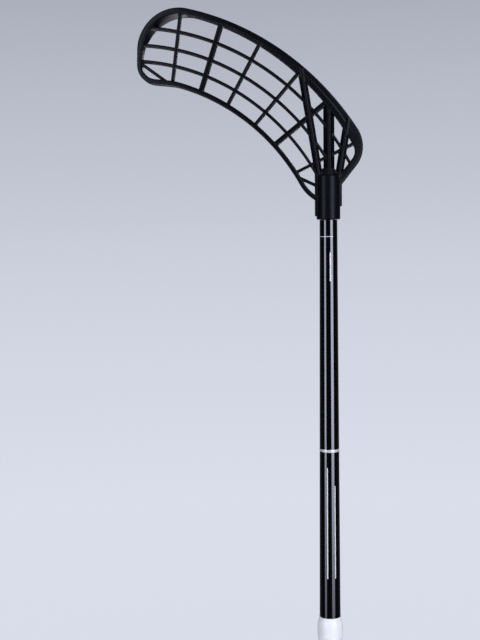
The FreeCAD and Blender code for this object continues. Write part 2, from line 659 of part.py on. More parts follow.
def main():
    fill_sheets()
    subparts = [make_shaft_tube(), make_blade(), make_blade_screw(),
                make_grip_tape(), make_finish_band(), make_end_cap()]
    doc.recompute()
    for item in doc.Objects:
        if {"Invalid", "Error"} & set(item.State):
            raise RuntimeError(f"{item.Label} could not be made: {item.State}")
    for subpart in subparts:
        if subpart.Shape.isNull() or not subpart.Shape.isValid():
            raise RuntimeError(f"{subpart.Label} has no valid shape")
        if len(subpart.Shape.Solids) != 1:
            raise RuntimeError(f"{subpart.Label} is not one solid")
    os.makedirs("parts", exist_ok=True)
    for subpart in subparts:
        subpart.Shape.exportStep(f"parts/{subpart.Label}.step")
        print(subpart.Label, round(subpart.Shape.Volume), "mm3", len(subpart.Shape.Faces), "faces")


main()
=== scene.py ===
import math

import bmesh
import bpy
from bpy.props import FloatProperty, FloatVectorProperty, IntProperty, PointerProperty
from mathutils import Matrix, Vector


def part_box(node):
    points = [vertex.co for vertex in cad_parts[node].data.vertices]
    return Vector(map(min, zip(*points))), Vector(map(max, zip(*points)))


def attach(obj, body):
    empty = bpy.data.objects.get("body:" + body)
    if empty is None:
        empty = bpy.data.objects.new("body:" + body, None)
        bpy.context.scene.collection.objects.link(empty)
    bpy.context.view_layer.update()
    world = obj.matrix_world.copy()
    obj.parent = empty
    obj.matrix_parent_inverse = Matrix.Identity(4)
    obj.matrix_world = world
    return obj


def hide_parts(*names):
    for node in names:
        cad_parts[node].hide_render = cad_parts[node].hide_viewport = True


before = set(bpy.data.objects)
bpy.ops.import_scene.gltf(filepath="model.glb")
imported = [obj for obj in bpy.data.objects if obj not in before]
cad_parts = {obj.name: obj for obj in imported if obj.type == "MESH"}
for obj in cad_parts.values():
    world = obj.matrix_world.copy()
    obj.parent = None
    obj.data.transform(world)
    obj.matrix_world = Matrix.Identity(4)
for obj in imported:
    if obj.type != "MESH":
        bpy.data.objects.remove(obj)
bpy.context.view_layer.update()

bl_info = {
    "name": "Floorball Stick",
    "version": (1, 0, 0),
    "blender": (4, 5, 0),
    "location": "View3D > Sidebar > Stick",
    "description": "Dresses a floorball stick: blade, lacquered shaft, wound grip, screw and butt plug",
    "category": "Object",
}

MM = 0.001
TURN = 2 * math.pi
WELD = 1e-6
SLIVER = 1e-7

# Shaft tube
TUBE_BUTT_RADIUS = 12.1 * MM
TUBE_TIP_RADIUS = 10.0 * MM
TAPER_START = 372.0 * MM
TAPER_END = 831.0 * MM

# Printed marks: angles in degrees from the front, heights in metres
INK_ABOVE = 0.045 * MM
INK_BELOW = -0.05 * MM
INK_ARC = 4.0
INK_RUN = 12.0 * MM
CROSS_LINE_ANGLES = (-100.0, 27.0)
CROSS_LINE_HEIGHT = 0.81144
CROSS_LINE_SHARE = 0.45
SHORT_STRIPE_ANGLES = (3.6, 10.0)
SHORT_STRIPE_HEIGHTS = (0.7612, 0.7938)
LONG_STRIPES = (
    ("long_stripe_left", -17.0, 0.419, 0.548),
    ("long_stripe_right", 28.0, 0.419, 0.527),
)
RING_ABOVE = 0.06 * MM
RING_EDGE = RING_ABOVE * 0.4
RING_BEVEL = 0.15 * MM
RING_SIDES = 96

# Wound grip strip: shares are of its half width, from its lower edge to its middle;
# each roll has a depth, as a share of the thickness, and a power
GRIP_BOTTOM = 8.3 * MM
GRIP_TOP = 362.7 * MM
GRIP_INSIDE = 12.15 * MM
STRIP_SHARES = (-1.0, -0.985, -0.955, -0.90, -0.80, -0.60, -0.30, 0.0)
STRIP_UNDERSIDE = (1.0, 0.5, 0.0, -0.5, -1.0)
STRIP_ROLLS = ((0.62, 26), (0.12, 5))
STRIP_WAVE = 0.018
STRIP_STEPS = 72
STRIP_MEAN_RADIUS = 13.5

# Finishing band
BAND_BOTTOM = 348.0 * MM
BAND_SHOULDER = 363.0 * MM
BAND_TOP = 372.0 * MM
BAND_INSIDE = 14.3 * MM
BAND_NECK_INSIDE = 12.15 * MM
BAND_FILM = 0.3 * MM
BAND_DROP = (BAND_SHOULDER - 1.5 * MM, BAND_TOP - 0.6 * MM)
BAND_STEPS = 22
BAND_SIDES = 288
PLEAT_DEPTH = 0.22 * MM
PLEAT_LEAN = 260.0
PLEAT_RISE = (BAND_SHOULDER - 5 * MM, BAND_SHOULDER + 2 * MM)
PLEAT_FALL = (BAND_TOP - 3 * MM, BAND_TOP)

# Blade screw, along +X; the thread's sizes are shares of its pitch
SCREW_HEIGHT = 861.0 * MM
SCREW_SEAT = 12.3 * MM
SCREW_SEAT_RADIUS = 3.6 * MM
SCREW_THREAD_RADIUS = 1.95 * MM
SCREW_ROOT_RADIUS = SCREW_THREAD_RADIUS * 0.72
SCREW_LENGTH = 9.0 * MM
SCREW_POINT = 2.4 * MM
SCREW_SIDES = 40
STEPS_PER_THREAD = 8
THREAD_HALF = 0.32
THREAD_FLAT = 1.15
THREAD_RUN_IN = 0.8
POINT_SHARE = 0.15
HEAD_OVERLAP = 0.02 * MM

# Blade socket, and how the skin's growth eases in beside it and beside the screw's seat
SOCKET_RADIUS = 10.05 * MM
SOCKET_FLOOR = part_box("shaft_tube")[1][2]
FLOOR_MARGIN = 0.5 * MM
FIT_MARGIN = 0.2 * MM
SOCKET_EASE = 0.9 * MM
SEAT_EASE = 1.2 * MM

# Blade plan in millimetres from the socket's mouth, bent round the hook; layers count to the front
MOUTH = 831.0
HOOK_START = 53.0
HOOK_RADIUS = 800.0
HOOK_CENTRE = 792.41
HOOK_BASE = (-154.95, 41.19)
CHORD_ANGLE = math.radians(22.0)
DRAW_ANGLE = math.radians(7.9)
BOW_CENTRE = (-240.38, -76.16)
LONG_RIB_RADII = (298.8, 278.7, 260.3)
LONG_RIB_TURNS = tuple(math.radians(60.0 + 0.25 * step) for step in range(160))
FAN_CENTRE = (-197.68, -28.26)
TOE_RIB_ANGLE = math.radians(6.8)
TOE_RIB_RUNS = range(200, 300)
RIM_HALF = 6.5
RIB_HALF = 4.0

# Toe: centre and radius of its outer and inner edge; the cutter of its wall starts and sweeps in degrees
TOE_OUTSIDE = (-169.99, 194.25, 45.98)
TOE_INSIDE = (-161.81, 181.48, 49.97)
WALL_START = 35.0
WALL_SWEEP = 165.0
WALL_STEPS = 96
WALL_OVERLAP = 0.8
WALL_LEAST = 0.3
WALL_CLEAR = 6
BEAD_DEPTH = 0.6
RIB_END_INSIDE = 4.0
RIB_END_OUTSIDE = 1.5

# Sole rim and the fine bead along its faces, between two angles in degrees
SOLE_RADIUS = 325.4
SOLE_RIM = 4.6
SOLE_SWELL = 13.0
SOLE_SWELL_ANGLE = math.radians(10.0)
RIM_BEAD_SHARE = 0.60
RIM_BEAD_ANGLES = (29.0, 71.0)
RIM_BEAD_STEPS = 120
RIM_BEAD_SIDES = 10
RIM_BEAD_SINK = 0.2
RIM_BEAD_TAPER = 0.2
RIM_BEAD_TIP = 0.2

# Moulding of the blade's skin
SOFTEN_FACTOR = 0.5
LIGHTEN_RATIO = 0.4
LEAST_CARVED_FACES = 500
LEAST_MOULDED_FACES = 1000

# Butt plug
CAP_RADIUS = 14.0 * MM
CAP_BEVEL = 1.6 * MM
CAP_BEVEL_STEPS = 6
CAP_HEAD = 8.0 * MM
CAP_END = 38.0 * MM
CAP_CORE = 9.5 * MM
CAP_RING = 10.4 * MM
CAP_RING_START = 11.0 * MM
CAP_RING_PITCH = 12.5 * MM
CAP_RING_WIDTH = 2.0 * MM
CAP_RING_PROFILE = ((0.0, 0.0), (0.25, 0.7), (0.5, 1.0), (0.75, 0.7), (1.0, 0.0))
CAP_HOLLOW = 7.0 * MM
CAP_FLOOR = 4.0 * MM
CAP_AXIS_GAP = 0.4 * MM
CAP_DISH = 0.35 * MM
CAP_DISH_RADII = (7.6 * MM, 8.2 * MM)
CAP_HEAD_EDGE = 0.5 * MM
CAP_END_EDGE = 0.6 * MM
CAP_MOUTH_EDGE = 0.3 * MM
CAP_FLOOR_EDGE = 0.8 * MM
CAP_SIDES = 240
KNURL_DEPTH = 0.28 * MM
KNURL_TEETH = 48
KNURL_ROWS = (3.0 * MM, 5.6 * MM)
KNURL_RISE = (1.8 * MM, 2.8 * MM)
KNURL_FALL = (5.8 * MM, 6.8 * MM)
KNURL_REACH = 0.2 * MM

# Stage
SHAFT_AIM = (0.0, 0.0, 0.80)
SOFTBOX_TINT = (0.90, 0.92, 1.0)
PLAIN_SOFTBOXES = (
    # name, place, target, width, height, power, seen in reflections
    ("softbox_top", (-0.1, 0.2, 2.6), (-0.05, 0.0, 0.6), 1.8, 1.8, 18.0, False),
    ("softbox_back", (0.6, 2.0, 1.4), (0.0, 0.0, 0.6), 1.6, 1.4, 14.0, False),
    ("softbox_rear", (0.18, 2.0, 0.75), SHAFT_AIM, 0.30, 1.9, 7.0, True),
)
CAMERA_PLACE = (-0.10121, -1.357, 0.82942)
CAMERA_TILT = math.radians(85.3)
CAMERA_ROLL = math.radians(-0.6)
CAMERA_LENS = 67.25
FLOOR_RADIUS = 40.0
FLOOR_SEGMENTS = 128
FLOOR_HALF_WAY = 3.0
FILL_LEVEL = 0.32
HORIZON = (202, 206, 218)
# Floor's pale tones by share of the way out: painted shade, a little darker towards the horizon
FLOOR_STOPS = (
    (0.30, (217, 221, 233)), (0.45, (218, 222, 234)), (0.61, (213, 217, 229)), (0.80, (207, 211, 223)),
    (0.93, HORIZON),
)
# Sky's tones by height: painted shade, darker upward
SKY_STOPS = (
    (0.08, HORIZON), (0.118, (196, 200, 212)), (0.20, (185, 189, 201)), (0.275, (172, 176, 188)),
    (0.60, (160, 164, 176)),
)

FULL_RANGE = {"min": 0.0, "max": 1.0}


class StickSizes(bpy.types.PropertyGroup):
    """Sizes of the dressed pieces that a user may change."""

    mould_step: FloatProperty(
        name="Mould step", description="Size of the cells that the blade's skin is drawn from",
        default=0.0006, min=0.0004, max=0.003, unit="LENGTH",
    )
    edge_softness: IntProperty(
        name="Edge softness", description="Rounds of smoothing that soften the blade's moulded edges",
        default=3, min=0, max=20,
    )
    edge_restore: FloatProperty(
        name="Edge restore", description="Skin that gives back to the ribs what the smoothing takes",
        default=0.00055, min=0.0, max=0.001, unit="LENGTH",
    )
    toe_bead: FloatProperty(
        name="Toe bead", description="Width of the bead along the toe's edge, in front of its drafted wall",
        default=0.0061, min=0.002, max=0.008, unit="LENGTH",
    )
    rim_bead: FloatProperty(
        name="Rim bead", description="Width of the fine bead along the rim's faces",
        default=0.0018, min=0.0006, max=0.003, unit="LENGTH",
    )
    rib_width: FloatProperty(
        name="Rib width", description="Width of the rib ends that cross the toe's drafted wall",
        default=0.0024, min=0.001, max=0.004, unit="LENGTH",
    )
    mark_width: FloatProperty(
        name="Printed line", description="Width of the thin printed lines on the shaft",
        default=0.0011, min=0.0003, max=0.004, unit="LENGTH",
    )
    ring_height: FloatProperty(
        name="Ring height", description="Height of the middle of the shaft's silver ring above the butt",
        default=0.5674, min=0.4, max=0.8, unit="LENGTH",
    )
    ring_width: FloatProperty(
        name="Ring width", description="Width of the shaft's silver ring",
        default=0.0031, min=0.001, max=0.02, unit="LENGTH",
    )
    strip_pitch: FloatProperty(
        name="Strip pitch", description="Rise of the grip strip in one turn round the shaft",
        default=0.0245, min=0.015, max=0.05, unit="LENGTH",
    )
    strip_seam: FloatProperty(
        name="Strip seam", description="Open gap between two turns of the grip strip",
        default=0.0006, min=0.0002, max=0.003, unit="LENGTH",
    )
    strip_thickness: FloatProperty(
        name="Strip thickness", description="Thickness of the grip strip at its middle",
        default=0.0021, min=0.001, max=0.0021, unit="LENGTH",
    )
    band_puckers: IntProperty(
        name="Band puckers", description="Number of small pleats round the top of the finishing band",
        default=38, min=8, max=90,
    )
    thread_pitch: FloatProperty(
        name="Thread pitch", description="Rise of the screw's thread in one turn",
        default=0.0014, min=0.0005, max=0.003, unit="LENGTH",
    )


class StickColours(bpy.types.PropertyGroup):
    """Colours of the dressed pieces that a user may change."""

    blade_plastic: FloatVectorProperty(
        name="Blade plastic", description="Colour of the moulded blade",
        default=(0.0028, 0.0033, 0.0046), subtype="COLOR", **FULL_RANGE,
    )
    shaft_lacquer: FloatVectorProperty(
        name="Shaft lacquer", description="Colour of the shaft below its clear coat",
        default=(0.0012, 0.0012, 0.0016), subtype="COLOR", **FULL_RANGE,
    )
    shaft_print: FloatVectorProperty(
        name="Shaft print", description="Colour of the printed stripes on the shaft",
        default=(0.74, 0.75, 0.77), subtype="COLOR", **FULL_RANGE,
    )
    shaft_ring: FloatVectorProperty(
        name="Shaft ring", description="Colour of the silver ring on the shaft",
        default=(0.63, 0.64, 0.67), subtype="COLOR", **FULL_RANGE,
    )
    grip_strip: FloatVectorProperty(
        name="Grip strip", description="Colour of the wound grip strip",
        default=(0.80, 0.805, 0.815), subtype="COLOR", **FULL_RANGE,
    )
    band_film: FloatVectorProperty(
        name="Finishing band", description="Colour of the band that ends the grip",
        default=(0.80, 0.805, 0.815), subtype="COLOR", **FULL_RANGE,
    )
    screw_steel: FloatVectorProperty(
        name="Screw steel", description="Colour of the plated blade screw",
        default=(0.52, 0.53, 0.55), subtype="COLOR", **FULL_RANGE,
    )
    cap_rubber: FloatVectorProperty(
        name="Butt plug", description="Colour of the rubber butt plug",
        default=(0.022, 0.022, 0.024), subtype="COLOR", **FULL_RANGE,
    )


class StageSettings(bpy.types.PropertyGroup):
    """Light and ground that a user may change."""

    floor_height: FloatProperty(
        name="Floor height", description="Height of the floor below the butt face",
        default=-0.062, min=-1.0, max=0.0, unit="LENGTH",
    )
    floor_colour: FloatVectorProperty(
        name="Floor colour", description="Colour of the floor round the stick",
        default=(0.82, 0.835, 0.875), subtype="COLOR", **FULL_RANGE,
    )
    left_light: FloatProperty(
        name="Left softbox", description="Power of the tall softbox on the left",
        default=8.8, min=0.0, max=200.0, subtype="POWER", unit="POWER",
    )
    right_light: FloatProperty(
        name="Right softbox", description="Power of the tall softbox on the right",
        default=17.0, min=0.0, max=200.0, subtype="POWER", unit="POWER",
    )


def tube_radius(height):
    """Outside radius of the shaft at a height above the butt."""
    share = min(max((height - TAPER_START) / (TAPER_END - TAPER_START), 0.0), 1.0)
    return TUBE_BUTT_RADIUS + (TUBE_TIP_RADIUS - TUBE_BUTT_RADIUS) * share


def round_shaft(radius, angle, height):
    """Point round the shaft's axis; the angle counts from the front."""
    return (radius * math.sin(angle), -radius * math.cos(angle), height)


def smooth_share(low, high, value):
    """Eased share of the way from low to high."""
    share = min(max((value - low) / (high - low), 0.0), 1.0)
    return share * share * (3 - 2 * share)


def add_object(name, data):
    """Puts a mesh, lamp or camera into the scene, in place of one that an earlier run made."""
    old = bpy.data.objects.get(name)
    if old is not None:
        bpy.data.objects.remove(old)
    made = bpy.data.objects.new(name, data)
    bpy.context.scene.collection.objects.link(made)
    return made


def dress(mesh, material, sharp_angle=35.0):
    """Gives a mesh its material, and smooth shading that keeps its sharp edges."""
    mesh.materials.clear()
    mesh.materials.append(material)
    mesh.shade_smooth()
    mesh.set_sharp_from_angle(angle=math.radians(sharp_angle))


def add_piece(name, mesh, body, material, sharp_angle=35.0):
    """Puts a mesh into the scene as a named piece that rides on a body."""
    mesh.name = name
    piece = add_object(name, mesh)
    dress(mesh, material, sharp_angle)
    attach(piece, body)
    return piece


def freed_mesh(name, skin):
    """Mesh of a skin, which is given up."""
    mesh = bpy.data.meshes.new(name)
    skin.to_mesh(mesh)
    skin.free()
    return mesh


def mesh_from_rings(name, rings, closed_length=False, places=None):
    """Skin through closed rings of points; open ends get a cap, and places are kept as a map."""
    skin = bmesh.new()
    layer = skin.loops.layers.uv.new("strip") if places else None
    rows = [[skin.verts.new(point) for point in ring] for ring in rings]
    count = len(rings[0])
    spans = len(rows) if closed_length else len(rows) - 1
    for span in range(spans):
        after = (span + 1) % len(rows)
        for step in range(count):
            ahead = (step + 1) % count
            corners = ((span, step), (span, ahead), (after, ahead), (after, step))
            face = skin.faces.new([rows[row][column] for row, column in corners])
            if places:
                for loop, (row, column) in zip(face.loops, corners):
                    loop[layer].uv = places[row][column]
    if not closed_length:
        skin.faces.new(list(reversed(rows[0])))
        skin.faces.new(rows[-1])
    bmesh.ops.remove_doubles(skin, verts=skin.verts, dist=WELD)
    bmesh.ops.dissolve_degenerate(skin, edges=skin.edges, dist=SLIVER)
    bmesh.ops.recalc_face_normals(skin, faces=skin.faces)
    return freed_mesh(name, skin)


def turned_mesh(name, profile, sides, shape=None):
    """Closed skin turned round the shaft's axis from a closed profile of radius and height."""
    rings = []
    for step in range(sides):
        angle = TURN * step / sides
        ring = []
        for radius, height in profile:
            swell = shape(angle, radius, height) if shape else 0.0
            ring.append(round_shaft(radius + swell, angle, height))
        rings.append(ring)
    return mesh_from_rings(name, rings, closed_length=True)


def add_node(tree, kind, **values):
    """Adds a shader node and sets its inputs by name or number, and its settings by name."""
    node = tree.nodes.new("ShaderNode" + kind)
    for key, value in values.items():
        if key == "inputs":
            for socket, amount in value.items():
                node.inputs[socket].default_value = amount
        else:
            setattr(node, key, value)
    return node


def add_range(tree, start, end, to=(0.0, 1.0), smooth=False):
    """Adds a node that takes the values from start to end over to another range, eased if smooth."""
    limits = {"From Min": start, "From Max": end, "To Min": to[0], "To Max": to[1]}
    kind = "SMOOTHSTEP" if smooth else "LINEAR"
    return add_node(tree, "MapRange", interpolation_type=kind, inputs=limits)


def wire(tree, *links):
    """Links nodes; each link names a node, its output, the next node and that node's input."""
    for start, output, end, socket in links:
        tree.links.new(start.outputs[output], end.inputs[socket])


def node_group(name, *outputs):
    """Shader group with a scale and float outputs: the group, its two ends and the object's coordinates."""
    group = bpy.data.node_groups.new(name, "ShaderNodeTree")
    group.interface.new_socket("Scale", in_out="INPUT", socket_type="NodeSocketFloat")
    for label in outputs:
        group.interface.new_socket(label, in_out="OUTPUT", socket_type="NodeSocketFloat")
    entry = group.nodes.new("NodeGroupInput")
    leave = group.nodes.new("NodeGroupOutput")
    return group, entry, leave, add_node(group, "TexCoord")


def fine_grain():
    """Group: height of a fine moulded grain, and a slow patchiness."""
    group, entry, leave, place = node_group("fine_grain", "Height", "Patch")
    grain = add_node(group, "TexNoise", inputs={"Detail": 3.0, "Roughness": 0.6})
    patch = add_node(group, "TexNoise", inputs={"Scale": 34.0, "Detail": 4.0})
    wire(
        group,
        (place, "Object", grain, "Vector"), (entry, "Scale", grain, "Scale"),
        (place, "Object", patch, "Vector"),
        (grain, "Fac", leave, "Height"), (patch, "Fac", leave, "Patch"),
    )
    return group


def rubbed_edges():
    """Group: mask that is strong on worn outer edges and broken up by noise."""
    group, entry, leave, place = node_group("rubbed_edges", "Mask")
    shape = add_node(group, "NewGeometry")
    edge = add_range(group, 0.515, 0.60)
    noise = add_node(group, "TexNoise", inputs={"Detail": 5.0, "Roughness": 0.65})
    spread = add_range(group, 0.35, 0.7)
    both = add_node(group, "Math", operation="MULTIPLY")
    wire(
        group,
        (shape, "Pointiness", edge, "Value"),
        (place, "Object", noise, "Vector"), (entry, "Scale", noise, "Scale"),
        (noise, "Fac", spread, "Value"),
        (edge, "Result", both, 0), (spread, "Result", both, 1),
        (both, "Value", leave, "Mask"),
    )
    return group


def handling_scuffs():
    """Group: mask of fine scuffs, longer along the shaft than across it."""
    group, entry, leave, place = node_group("handling_scuffs", "Mask")
    stretch = add_node(group, "Mapping", inputs={"Scale": (1.0, 1.0, 0.12)})
    noise = add_node(group, "TexNoise", inputs={"Detail": 6.0, "Roughness": 0.7})
    spread = add_range(group, 0.52, 0.78)
    wire(
        group,
        (place, "Object", stretch, "Vector"), (stretch, "Vector", noise, "Vector"),
        (entry, "Scale", noise, "Scale"),
        (noise, "Fac", spread, "Value"), (spread, "Result", leave, "Mask"),
    )
    return group


class Finish:
    """A material under construction: its node tree, its shader and short ways to link them."""

    def __init__(self, name):
        old = bpy.data.materials.get(name)
        if old is not None:
            bpy.data.materials.remove(old)
        self.material = bpy.data.materials.new(name)
        self.material.use_nodes = True
        self.tree = self.material.node_tree
        self.shader = self.tree.nodes["Principled BSDF"]

    def node(self, kind, **values):
        return add_node(self.tree, kind, **values)

    def link(self, start, end):
        self.tree.links.new(start, end)

    def group(self, build, scale):
        """Places a node group, which is built at its first use, with its own scale."""
        tree = bpy.data.node_groups.get(build.__name__) or build()
        return self.node("Group", node_tree=tree, inputs={0: scale})

    def blend_colours(self, mask, low, high):
        """Colour that goes from low to high with a mask."""
        mix = self.node("Mix", data_type="RGBA", inputs={"A": (*low, 1.0), "B": (*high, 1.0)})
        self.link(mask, mix.inputs["Factor"])
        return mix.outputs["Result"]

    def spread(self, value, low, high):
        """Value that goes from low to high as the incoming value goes from 0 to 1."""
        ranged = add_range(self.tree, 0.0, 1.0, (low, high))
        self.link(value, ranged.inputs["Value"])
        return ranged.outputs["Result"]

    def bump(self, height, strength, distance, normal=None):
        """Bump from a height, on top of another bump where one is given."""
        bump = self.node("Bump", inputs={"Strength": strength, "Distance": distance})
        self.link(height, bump.inputs["Height"])
        if normal is not None:
            self.link(normal, bump.inputs["Normal"])
        return bump.outputs["Normal"]

    def feed(self, **outputs):
        """Links what changes over the surface to the shader's sockets."""
        for label, output in outputs.items():
            self.link(output, self.shader.inputs[label.replace("_", " ")])

    def set(self, **values):
        """Sets what is the same all over on the shader's own sockets."""
        for label, value in values.items():
            self.shader.inputs[label.replace("_", " ")].default_value = value


def lighter(colour, factor, lift=0.0):
    """Colour made lighter or darker by a factor, and lifted by an amount."""
    return tuple(min(part * factor + lift, 1.0) for part in colour)


def picked_colour(name):
    """Colour that the user has picked for a finish."""
    return tuple(getattr(bpy.context.scene.stick_colours, name))


# wear: its group and scale; worn: factor and lift of the worn colour; grain: scale of the fine grain;
# rough: what changes the roughness, from and to; bump: its height, strength and distance;
# plain: what is the same all over
WORN_FINISHES = {
    # satin moulded plastic with pale rubbed edges
    "blade_plastic": dict(
        wear=(rubbed_edges, 150.0), worn=(2.0, 0.006), grain=1500.0,
        rough=("Patch", 0.24, 0.35), bump=("Height", 0.14, 0.00012),
        plain=dict(Specular_IOR_Level=0.11, Specular_Tint=(0.84, 0.92, 1.0, 1.0)),
    ),
    # black lacquer with a cool sheen and faint scuffs, under a clear coat
    "shaft_lacquer": dict(
        wear=(handling_scuffs, 300.0), worn=(1.6, 0.001), grain=420.0,
        rough=("Mask", 0.09, 0.15), bump=("Patch", 0.05, 0.0002),
        plain=dict(
            Coat_Weight=1.0, Coat_Roughness=0.06,
            Specular_IOR_Level=0.8, Specular_Tint=(0.70, 0.75, 1.0, 1.0),
        ),
    ),
    # printed ink below the lacquer, a little worn
    "shaft_print": dict(
        wear=(handling_scuffs, 520.0), worn=(0.62,), rough=("Mask", 0.22, 0.42),
        plain=dict(Coat_Weight=0.6, Coat_Roughness=0.08),
    ),
    # silver film below the lacquer, a little worn
    "shaft_ring": dict(
        wear=(handling_scuffs, 700.0), worn=(0.75,), rough=("Mask", 0.38, 0.54),
        plain=dict(Metallic=0.35, Coat_Weight=0.2, Coat_Roughness=0.15),
    ),
    # stretched white film with a soft shine and faint handling marks
    "band_film": dict(
        wear=(handling_scuffs, 620.0), worn=(0.86,), grain=900.0,
        rough=("Patch", 0.24, 0.40), bump=("Patch", 0.12, 0.0004),
    ),
    # zinc-plated steel, dull in places and bright on its edges
    "screw_steel": dict(
        wear=(rubbed_edges, 900.0), worn=(1.3, 0.05), grain=3200.0,
        rough=("Patch", 0.24, 0.44), bump=("Height", 0.08, 0.00005), plain=dict(Metallic=1.0),
    ),
    # matt black rubber, greyed where it is knocked on the floor
    "cap_rubber": dict(
        wear=(rubbed_edges, 320.0), worn=(2.2, 0.02), grain=1700.0,
        rough=("Patch", 0.55, 0.78), bump=("Height", 0.3, 0.00015),
    ),
}


def worn_finish(name):
    """Material of the table: its colour changes where it is worn, and its gloss and bump vary."""
    values = WORN_FINISHES[name]
    colour = picked_colour(name)
    finish = Finish(name)
    sources = dict(finish.group(*values["wear"]).outputs.items())
    if "grain" in values:
        sources.update(finish.group(fine_grain, values["grain"]).outputs.items())
    source, low, high = values["rough"]
    finish.feed(
        Base_Color=finish.blend_colours(sources["Mask"], colour, lighter(colour, *values["worn"])),
        Roughness=finish.spread(sources[source], low, high),
    )
    if "bump" in values:
        source, strength, distance = values["bump"]
        finish.feed(Normal=finish.bump(sources[source], strength, distance))
    finish.set(**values.get("plain", {}))
    return finish.material


def grip_strip_finish():
    """Foamed white strip: pores, slow stains and rows of small punched dots, darkened with painted shade
    where the holes are.
    """
    colour = picked_colour("grip_strip")
    finish = Finish("grip_strip")
    grain = finish.group(fine_grain, 2600.0)
    place = finish.node("UVMap", uv_map="strip")
    rows = finish.node("Mapping", inputs={"Scale": (0.25, 0.25, 0.0)})
    cell = finish.node("VectorMath", operation="FRACTION")
    middle = finish.node("VectorMath", operation="SUBTRACT", inputs={1: (0.5, 0.5, 0.0)})
    reach = finish.node("VectorMath", operation="LENGTH")
    hole = add_range(finish.tree, 0.10, 0.19, (1.0, 0.0), smooth=True)
    stained = finish.blend_colours(grain.outputs["Patch"], lighter(colour, 1.05), lighter(colour, 0.93))
    # painted shade: the colour is darker in each punched hole, as if its inside lay in shade
    hole_shade = finish.node("Mix", data_type="RGBA", inputs={"B": (*lighter(colour, 0.42), 1.0)})
    finish.link(stained, hole_shade.inputs["A"])
    wire(
        finish.tree,
        (place, "UV", rows, "Vector"), (rows, "Vector", cell, 0),
        (cell, "Vector", middle, 0), (middle, "Vector", reach, 0),
        (reach, "Value", hole, "Value"), (hole, "Result", hole_shade, "Factor"),
    )
    punched = finish.bump(finish.spread(hole.outputs["Result"], 1.0, 0.0), 0.5, 0.0005)
    finish.feed(
        Base_Color=hole_shade.outputs["Result"],
        Roughness=finish.spread(grain.outputs["Patch"], 0.48, 0.66),
        Normal=finish.bump(grain.outputs["Height"], 0.18, 0.0001, punched),
    )
    finish.set(Sheen_Weight=0.08, Sheen_Roughness=0.5)
    return finish.material


def settled_mesh(piece):
    """Mesh of a piece with its modifiers worked in."""
    depsgraph = bpy.context.evaluated_depsgraph_get()
    return bpy.data.meshes.new_from_object(piece.evaluated_get(depsgraph))


def bent_point(x, z, layer):
    """Place of a plan point on one layer of the bent blade, in metres."""
    along = (x - HOOK_BASE[0]) * math.cos(CHORD_ANGLE) - (z - HOOK_BASE[1]) * math.sin(CHORD_ANGLE)
    depth = HOOK_CENTRE - math.sqrt((HOOK_RADIUS + layer) ** 2 - along ** 2)
    axis = (math.sin(CHORD_ANGLE), 0.0, math.cos(CHORD_ANGLE))
    turn = Matrix.Rotation(-DRAW_ANGLE, 3, axis)
    place = turn @ Vector((x + HOOK_START, depth, z)) + Vector((-HOOK_START, 0.0, MOUTH))
    return place * MM


def toe_wall_cutter(bead):
    """Closed shape whose slope gives the toe's rim a drafted inner wall inside a bead."""
    from_x, from_z, inside = TOE_INSIDE
    bead_x, bead_z, outside = TOE_OUTSIDE
    reach = outside - bead
    near = inside - WALL_OVERLAP
    gap_x, gap_z = from_x - bead_x, from_z - bead_z
    rings = []
    for step in range(WALL_STEPS + 1):
        angle = math.radians(WALL_START + WALL_SWEEP * step / WALL_STEPS)
        way_x, way_z = math.cos(angle), math.sin(angle)
        middle = -(gap_x * way_x + gap_z * way_z)
        across = middle ** 2 - gap_x ** 2 - gap_z ** 2 + reach ** 2
        if across <= 0:
            continue
        far = middle + math.sqrt(across)
        if far < near + WALL_LEAST:
            continue
        front = RIM_HALF + WALL_CLEAR
        corners = ((near, front), (far, front), (far, RIM_HALF - BEAD_DEPTH), (near, -RIM_HALF))
        rings.append([
            bent_point(from_x + way_x * out, from_z + way_z * out, layer) for out, layer in corners
        ])
    return mesh_from_rings("toe_wall_cutter", rings)


def in_toe_wall(x, z):
    """True where a rib has to cross the drafted wall to reach the rim's bead."""
    inside = math.dist((x, z), TOE_INSIDE[:2])
    outside = math.dist((x, z), TOE_OUTSIDE[:2])
    return inside > TOE_INSIDE[2] - RIB_END_INSIDE and outside < TOE_OUTSIDE[2] - RIB_END_OUTSIDE


def rib_end(line, width):
    """Closed end of a rib along the plan points of a line that cross the toe's wall."""
    crossing = [point for point in line if in_toe_wall(*point)]
    rings = []
    for number, (x, z) in enumerate(crossing):
        before = crossing[max(number - 1, 0)]
        after = crossing[min(number + 1, len(crossing) - 1)]
        run = math.dist(before, after)
        side_x, side_z = -(after[1] - before[1]) / run, (after[0] - before[0]) / run
        rings.append([
            bent_point(x + side * side_x * width / 2, z + side * side_z * width / 2, layer)
            for side, layer in ((-1, RIB_HALF), (1, RIB_HALF), (1, -RIB_HALF), (-1, -RIB_HALF))
        ])
    return mesh_from_rings("rib_end", rings)


def toe_rib_ends(width):
    """Meshes of the rib ends that cross the toe's drafted wall."""
    lines = [
        [
            (BOW_CENTRE[0] + radius * math.cos(turn), BOW_CENTRE[1] + radius * math.sin(turn))
            for turn in LONG_RIB_TURNS
        ]
        for radius in LONG_RIB_RADII
    ]
    way_x, way_z = math.sin(TOE_RIB_ANGLE), math.cos(TOE_RIB_ANGLE)
    lines.append([(FAN_CENTRE[0] + way_x * run, FAN_CENTRE[1] + way_z * run) for run in TOE_RIB_RUNS])
    return [rib_end(line, width) for line in lines]


